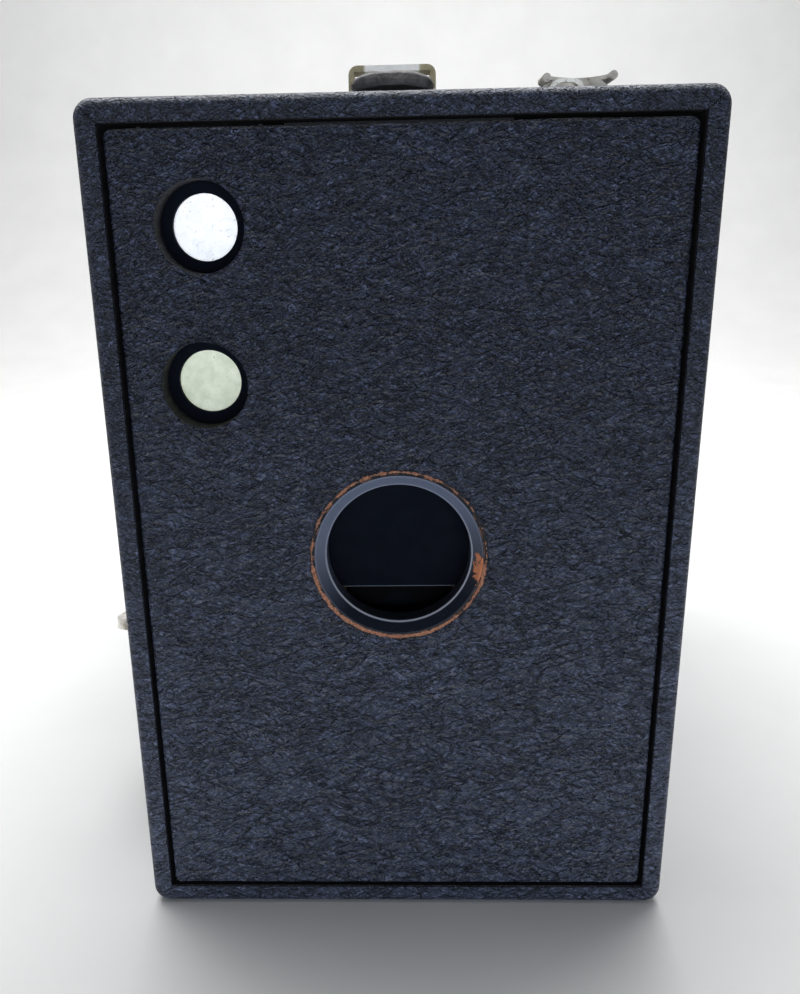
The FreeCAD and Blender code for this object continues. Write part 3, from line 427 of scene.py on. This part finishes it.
def slide_metal(name, dull, bright, glint):
    """Slide strip: nickel where fingers pull it, blackened inside the case."""
    f = Finish(name)
    outside = f.grey(f.along("Z", (0, 0, case_top)), 0.0, 1.0, (-3.5, -2.5))
    cloud = f.noise(2.5, 5.0, 0.6, 0.3)
    nickel = f.mix(f.grey(cloud, 0.0, 1.0), dull, bright)
    stain = f.grey(f.noise(1.0, 5.0, 0.6), 0.0, 0.8, (0.55, 0.68))
    nickel = f.mix(stain, nickel, (0.10, 0.08, 0.06))
    black = f.mix(f.grey(cloud, 0.0, 1.0), (0.001, 0.001, 0.002), (0.002, 0.002, 0.003))
    f.bump(f.noise(1.2, 4.0, 0.5), 0.05, 0.4)
    colour = f.mix(outside, black, nickel)
    # Emission by glint is a painted glint: the strip glows faintly in its own colour; the time slide
    # has some, the stop slide none.
    return f.set(Base_Color=colour, Metallic=f.math("MULTIPLY", outside, 0.4),
                 Roughness=f.grey(outside, 0.85, 0.38, (0, 1)), Specular_IOR_Level=0.08,
                 Emission_Color=colour, Emission_Strength=glint)


def thread():
    """Waxed dark linen thread."""
    f = Finish("thread")
    twist = f.noise(0.25, 2.0, 0.5, 0.0, (1.0, 2.0, 1.0))
    f.bump(twist, 0.08, 0.8)
    return f.set(Base_Color=f.mix(twist, (0.03, 0.025, 0.02), (0.12, 0.10, 0.08)), Roughness=0.7)


FINISHES = {
    "covering": leatherette(),
    "case_wood": wood("case_wood", (0.23, 0.13, 0.06), (0.42, 0.27, 0.14)),
    "black_wood": wood("black_wood", (0.006, 0.006, 0.008), (0.018, 0.017, 0.021), 0.7),
    "strap_leather": leather("strap_leather", (0.045, 0.042, 0.044), (0.120, 0.114, 0.118)),
    "nickel": metal("nickel", (0.44, 0.42, 0.38), (0.78, 0.76, 0.72), 0.26, (0.30, 0.24, 0.15)),
    "brass": metal("brass", (0.40, 0.28, 0.12), (0.72, 0.56, 0.30), 0.30, (0.20, 0.15, 0.09)),
    "black_metal": bevel_black(),
    "dull_metal": paint("dull_metal", (0.012, 0.012, 0.014), (0.035, 0.035, 0.040), 0.55,
                        (0.22, 0.20, 0.18), 0.71),
    "clear_glass": glass("clear_glass", (0.90, 0.92, 0.90), 0.06, 0.9),
    "ground_glass": glass("ground_glass", (0.86, 0.88, 0.80), 0.45, 0.55),
    "finder_mirror": metal("finder_mirror", (0.55, 0.56, 0.55), (0.86, 0.87, 0.86), 0.10,
                           (0.30, 0.29, 0.25), 2.5, 0.1),
    "red_glass": glass("red_glass", (0.45, 0.015, 0.010), 0.15, 0.5, (0.02, 0.0, 0.0), 0.72, 0.01),
    "spring_steel": metal("spring_steel", (0.14, 0.14, 0.16), (0.32, 0.32, 0.34), 0.34,
                          (0.12, 0.07, 0.04)),
    "raw_edge": raw_edge(),
    "finder_glass": finder_glass(),
    "stop_metal": slide_metal("stop_metal", (0.24, 0.22, 0.19), (0.52, 0.49, 0.44), 0.0),
    "time_metal": slide_metal("time_metal", (0.50, 0.49, 0.45), (0.72, 0.71, 0.67), 0.06),
    "blade_black": blackened("blade_black", (0.10, 0.12, 0.14)),
    "plate_black": blackened("plate_black", (0.0012, 0.0026, 0.0060)),
    "bracket_metal": bracket_metal(),
    "lens_glass": lens_glass(),
    "thread": thread(),
}
OWN_FINISH = {
    "finder_lenses": "finder_glass",
    "taking_lens": "lens_glass",
    "stop_slide": "stop_metal",
    "time_slide": "time_metal",
    "shutter_blade": "blade_black",
    "shutter_plate": "plate_black",
    "lens_plate": "plate_black",
    "handle_brackets": "bracket_metal",
}


def dress_frame():
    """Every CAD node takes its own finish or that of its material slot."""
    for part in frame["record"]["subparts"]:
        node = nodes[part["node"]]
        node.data.materials.clear()
        finish = OWN_FINISH.get(part["node"], part["material_slot"])
        node.data.materials.append(FINISHES[finish])


# ---------------------------------------------------------------- pieces
def finish_piece(name, mesh_in, finish, body):
    """Turns a bmesh into an object at the origin that rides on a body."""
    mesh = bpy.data.meshes.new(name)
    mesh_in.to_mesh(mesh)
    mesh_in.free()
    piece = bpy.data.objects.new(name, mesh)
    bpy.context.collection.objects.link(piece)
    mesh.materials.append(FINISHES[finish])
    for polygon in mesh.polygons:
        polygon.use_smooth = True
    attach(piece, body)
    return piece


def relief(x, z):
    """How far the covering's surface sinks at a place, in millimetres: folds that cross."""
    px, pz = x / MM, z / MM
    folds = 0.0
    for lean, seed, across, up in ((0.30, 3.0, 0.115, 0.52), (-0.27, 21.0, 0.125, 0.60)):
        u = px * math.cos(lean) + pz * math.sin(lean)
        v = pz * math.cos(lean) - px * math.sin(lean)
        wave = noise.fractal(Vector((u * across, seed, v * up)), 0.9, 2.1, 3)
        folds = max(folds, 1.0 - min(1.0, abs(wave) / 0.36))
    low = 1.0 - min(1.0, max(0.0, (pz - 35.0) / 75.0))
    bite = noise.fractal(Vector((px * 0.5, 41.0, pz * 1.1)), 0.8, 2.1, 3)
    swell = noise.fractal(Vector((px * 0.05, 9.0, pz * 0.09)), 1.0, 2.0, 3)
    seam = min(abs(abs(px) - 30.0), abs(pz - 118.0) if abs(px) < 36 else 9.0)
    unevenness = 0.5 + 0.5 * noise.noise(Vector((px * 0.1, 5.0, pz * 0.1)))
    pressed = max(0.0, 1.0 - seam / 0.7) * unevenness
    depth = 0.30 + 0.12 * low
    sink = 0.40 - depth * folds ** 1.5 + 0.14 * bite + 0.04 * swell + 0.08 * pressed
    return min(deepest_fold, max(0.0, sink))


def cut_hole(mesh, x, z, r, rag):
    """Takes out the squares inside a circle and pulls the rim onto it, torn by up to rag."""
    inside = [f for f in mesh.faces
              if math.hypot(f.calc_center_median().x - x, f.calc_center_median().z - z) < r]
    bmesh.ops.delete(mesh, geom=inside, context="FACES")
    near = r + 2 * leather_cell * MM
    rim = [v for v in mesh.verts if v.is_boundary and math.hypot(v.co.x - x, v.co.z - z) < near]
    for v in rim:
        arm = Vector((v.co.x - x, 0, v.co.z - z))
        turn = math.atan2(arm.z, arm.x)
        tear = noise.noise(Vector((math.cos(turn) * 6, math.sin(turn) * 6, r * 900))) * rag
        reach = r + max(tear, -0.02 * MM)
        v.co.x = x + arm.x / arm.length * reach
        v.co.z = z + arm.z / arm.length * reach


def round_corners(v):
    """Moves a vertex of the front covering's square outline in to its rounded corner."""
    for side, limit in ((-1, face_low), (1, face_high)):
        for up, height in ((-1, face_low.z), (1, face_high.z)):
            cx, cz = limit.x - side * corner_r * MM, height - up * corner_r * MM
            dx, dz = (v.co.x - cx) * side, (v.co.z - cz) * up
            if dx > 0 and dz > 0:
                reach = math.hypot(dx, dz)
                square = max(dx, dz)
                v.co.x = cx + side * dx * square / reach
                v.co.z = cz + up * dz * square / reach


def front_leather():
    """Covering of the front board: creased, rounded at its border, torn around the holes."""
    cell = leather_cell * MM
    size = face_high - face_low
    centre = (face_low + face_high) / 2
    mesh = bmesh.new()
    bmesh.ops.create_grid(mesh, x_segments=round(size.x / cell), y_segments=round(size.z / cell),
                          size=0.5)
    bmesh.ops.scale(mesh, verts=mesh.verts, vec=(size.x, size.z, 1))
    bmesh.ops.rotate(mesh, verts=mesh.verts, matrix=Matrix.Rotation(math.pi / 2, 3, "X"))
    bmesh.ops.translate(mesh, verts=mesh.verts, vec=(centre.x, front_y, centre.z))
    holes = [(lens_at.x, lens_at.z, torn_r * MM, 0.16 * MM)]
    holes += [(x * MM, z * MM, finder_r * MM, 0.10 * MM) for x, z in finder_places]
    for x, z, r, rag in holes:
        cut_hole(mesh, x, z, r, rag)
    for v in mesh.verts:
        round_corners(v)
        edge = min(v.co.x - face_low.x, face_high.x - v.co.x, v.co.z - face_low.z,
                   face_high.z - v.co.z)
        hole_edge = min(math.hypot(v.co.x - x, v.co.z - z) - r for x, z, r, _ in holes)
        lip = max(0.0, 1 - edge / (border_r * MM))
        soft = max(0.0, 1 - hole_edge / (0.5 * MM))
        sink = relief(v.co.x, v.co.z) * min(1.0, edge / MM + 0.2)
        rounded = 0.38 * (1 - math.sqrt(max(0.0, 1 - lip * lip)))
        v.co.y = front_y + (sink + rounded + 0.12 * soft) * MM
    border = [e for e in mesh.edges if e.is_boundary]
    skirt = bmesh.ops.extrude_edge_only(mesh, edges=border)["geom"]
    for v in skirt:
        if isinstance(v, bmesh.types.BMVert):
            v.co.y = face_high.y
    piece = finish_piece("front_leather", mesh, "covering", "case")
    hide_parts("front_covering")


def torn_ring():
    """Raw tan edge of the board around the bevelled ring, with a broken outline."""
    mesh = bmesh.new()
    profile = []
    for r, sink in ((13.08, 0.75), (13.12, 0.34), (13.30, 0.25), (13.60, 0.28), (13.98, 0.36)):
        profile.append(mesh.verts.new((r * MM, front_y + sink * MM, 0)))
    edges = [mesh.edges.new(pair) for pair in zip(profile, profile[1:])]
    bmesh.ops.spin(mesh, geom=profile + edges, cent=(0, 0, 0), axis=(0, 1, 0), angle=math.tau,
                   steps=220, use_merge=True)
    for v in mesh.verts:
        turn = math.atan2(v.co.z, v.co.x)
        r = math.hypot(v.co.x, v.co.z)
        place = Vector((math.cos(turn) * 9, math.sin(turn) * 9, r * 2200))
        wild = noise.fractal(place, 0.8, 2.0, 4)
        scale = 1 + 0.006 * wild * (r > bezel_r + 0.1 * MM)
        v.co.x *= scale
        v.co.z *= scale
        v.co.y += 0.10 * MM * wild
    bmesh.ops.translate(mesh, verts=mesh.verts, vec=(lens_at.x, 0, lens_at.z))
    bmesh.ops.recalc_face_normals(mesh, faces=mesh.faces)
    finish_piece("torn_ring", mesh, "raw_edge", "case")


def strap_lift(along):
    """Height of the strap's underside, eased between the knots."""
    d = along / MM
    for (a, h0), (b, h1) in zip(strap_knots, strap_knots[1:]):
        if d <= b + 1e-6:
            t = min(1.0, max(0.0, (d - a) / (b - a)))
            ease = t * t * (3 - 2 * t)
            return (h0 + (h1 - h0) * (0.5 * t + 0.5 * ease)) * MM
    return 0.0


def strap_crown(s):
    """Height of the strap's domed top over its underside, s being -1 to 1 across it."""
    dome = (1 - abs(s) ** 2.6) ** 0.5
    return strap_thick * MM * (0.30 + 0.70 * dome)


def strap():
    """Domed leather strap with rolled ends."""
    half_width = (strap_high.x - strap_low.x) / 2
    middle_x = (strap_low.x + strap_high.x) / 2
    start, end = strap_low.y, strap_high.y
    base = case_top + strap_gap * MM
    mesh = bmesh.new()
    across = 20
    outline = []
    for k in range(across + 1):
        s = -1 + 2 * k / across
        outline.append((half_width * s, strap_crown(s)))
    for k in range(across - 1, 0, -1):
        s = -1 + 2 * k / across
        hollow = 0.9 * MM * (1 - abs(s) ** 2)
        outline.append((half_width * s * 0.985, hollow))
    verts = [mesh.verts.new((middle_x + x, start, base + z)) for x, z in outline]
    loop = [mesh.edges.new((a, b)) for a, b in zip(verts, verts[1:] + verts[:1])]
    mesh.faces.new(verts)
    rows = 78
    for k in range(rows):
        made = bmesh.ops.extrude_edge_only(mesh, edges=loop)["geom"]
        fresh = [g for g in made if isinstance(g, bmesh.types.BMVert)]
        loop = [g for g in made if isinstance(g, bmesh.types.BMEdge)
                and all(v in set(fresh) for v in g.verts)]
        bmesh.ops.translate(mesh, verts=fresh, vec=(0, (end - start) / rows, 0))
    bmesh.ops.edgeloop_fill(mesh, edges=loop)
    for v in mesh.verts:
        along = v.co.y - start
        near_end = min(along, end - start - along)
        round_end = max(0.0, 1 - near_end / (2.5 * MM))
        thinned = 0.8 * MM * round_end ** 2 * (v.co.z - base) / (strap_thick * MM)
        v.co.z += strap_lift(along) - thinned
        v.co.x += (middle_x - v.co.x) * 0.06 * round_end ** 2
        v.co.z += 0.06 * MM * noise.noise(v.co / (3.0 * MM))
        v.co.z = max(v.co.z, case_top + 0.12 * MM)
    bmesh.ops.recalc_face_normals(mesh, faces=mesh.faces)
    piece = finish_piece("strap_leather", mesh, "strap_leather", "handle")
    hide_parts("handle_strap")


def strap_stitches():
    """Two rows of stitches along the strap's top."""
    half_width = (strap_high.x - strap_low.x) / 2
    middle_x = (strap_low.x + strap_high.x) / 2
    start, end = strap_low.y, strap_high.y
    base = case_top + strap_gap * MM
    margin = 2 * MM
    pitch = stitch_pitch * MM
    mesh = bmesh.new()
    for side in (-1, 1):
        for k in range(int((end - start - 2 * margin) / pitch)):
            along = margin + (k + 0.5) * pitch
            top = base + strap_lift(along) + strap_crown(stitch_place)
            made = bmesh.ops.create_uvsphere(mesh, u_segments=6, v_segments=4, radius=0.5)
            bmesh.ops.scale(mesh, verts=made["verts"], vec=(0.55 * MM, 1.7 * MM, 0.35 * MM))
            bmesh.ops.translate(mesh, verts=made["verts"],
                                vec=(middle_x + side * stitch_place * half_width, start + along,
                                     top - 0.02 * MM))
    finish_piece("strap_stitches", mesh, "thread", "handle")


dress_frame()
front_leather()
torn_ring()
strap()
strap_stitches()


# ---------------------------------------------------------------- stage, light and camera
def stage():
    """A pale table that sweeps up behind the object, with its top just under the base."""
    half_width, near, far, rise = 1.6, -0.9, 0.45, 0.95
    radius = 0.35
    steps = 12
    under = 0.05 * MM
    line = [(near, 0.0), (far, 0.0)]
    for k in range(1, steps + 1):
        a = math.pi / 2 * k / steps
        line.append((far + radius * math.sin(a), radius * (1 - math.cos(a))))
    line.append((far + radius, rise))
    mesh = bmesh.new()
    verts = [mesh.verts.new((-half_width, y, z - under)) for y, z in line]
    edges = [mesh.edges.new(pair) for pair in zip(verts, verts[1:])]
    made = bmesh.ops.extrude_edge_only(mesh, edges=edges)["geom"]
    fresh = [g for g in made if isinstance(g, bmesh.types.BMVert)]
    bmesh.ops.translate(mesh, verts=fresh, vec=(2 * half_width, 0, 0))
    bmesh.ops.recalc_face_normals(mesh, faces=mesh.faces)
    data = bpy.data.meshes.new("table_sweep")
    mesh.to_mesh(data)
    mesh.free()
    floor = bpy.data.objects.new("table_sweep", data)
    bpy.context.collection.objects.link(floor)
    f = Finish("pale_table")
    shade = f.mix(f.grey(f.noise(40.0, 3.0), 0.0, 1.0), (0.80, 0.80, 0.79), (0.84, 0.84, 0.83))
    data.materials.append(f.set(Base_Color=shade, Roughness=0.7))
    for polygon in data.polygons:
        polygon.use_smooth = True


def area_light(name, at, towards, size, power, tint=(1, 1, 1)):
    """A soft rectangular lamp at one place that faces another."""
    data = bpy.data.lights.new(name, "AREA")
    data.shape = "RECTANGLE"
    data.size, data.size_y = size
    data.energy = power
    data.color = tint
    lamp = bpy.data.objects.new(name, data)
    bpy.context.collection.objects.link(lamp)
    lamp.location = at
    lamp.rotation_euler = (Vector(towards) - Vector(at)).to_track_quat("-Z", "Y").to_euler()


def lights():
    """A bright room above and behind, dim on the side the viewer stands on."""
    world = bpy.data.worlds.new("soft_room")
    bpy.context.scene.world = world
    world.use_nodes = True
    tree = world.node_tree
    coords = tree.nodes.new("ShaderNodeTexCoord")
    split = tree.nodes.new("ShaderNodeSeparateXYZ")
    tree.links.new(coords.outputs["Generated"], split.inputs[0])

    lean = math_node(tree, "ADD", math_node(tree, "MULTIPLY", split.outputs["Y"], 0.9),
                    math_node(tree, "MULTIPLY", split.outputs["Z"], 0.5))
    share = math_node(tree, "DIVIDE", math_node(tree, "ADD", lean, 0.10), 1.10)
    share = math_node(tree, "POWER", math_node(tree, "MAXIMUM", share, 0.0), 2.2)
    glow = math_node(tree, "ADD", math_node(tree, "MULTIPLY", share, 1.65), 0.07)
    back = tree.nodes["Background"]
    back.inputs["Color"].default_value = (0.93, 0.94, 0.97, 1)
    tree.links.new(glow, back.inputs["Strength"])
    area_light("ceiling", (-0.05, 0.28, 0.80), (0, 0.14, 0.0), (0.9, 0.6), 9.0)
    area_light("front_card", (0.05, -0.70, 0.09), (0, -0.07, 0.03), (0.6, 0.16), 1.75,
               (0.84, 0.91, 1.0))


def camera():
    """Close view, a little under the level of the top, tipped down towards the base."""
    data = bpy.data.cameras.new("camera")
    data.sensor_width = 36.0
    data.lens = 31.19
    data.shift_x = 0.0297
    data.shift_y = -0.0029
    data.clip_start = 0.005
    eye = bpy.data.objects.new("camera", data)
    bpy.context.collection.objects.link(eye)
    heading, tip, roll = 1.725, 16.49, -1.088
    turn = (Matrix.Rotation(math.radians(heading), 4, "Z")
            @ Matrix.Rotation(math.radians(90 - tip), 4, "X")
            @ Matrix.Rotation(math.radians(roll), 4, "Z"))
    place = Vector((-0.00099, front_y - 0.1253, 0.1123))
    eye.matrix_world = Matrix.Translation(place) @ turn
    bpy.context.scene.camera = eye


stage()
lights()
camera()
bpy.context.scene.view_settings.view_transform = "Standard"
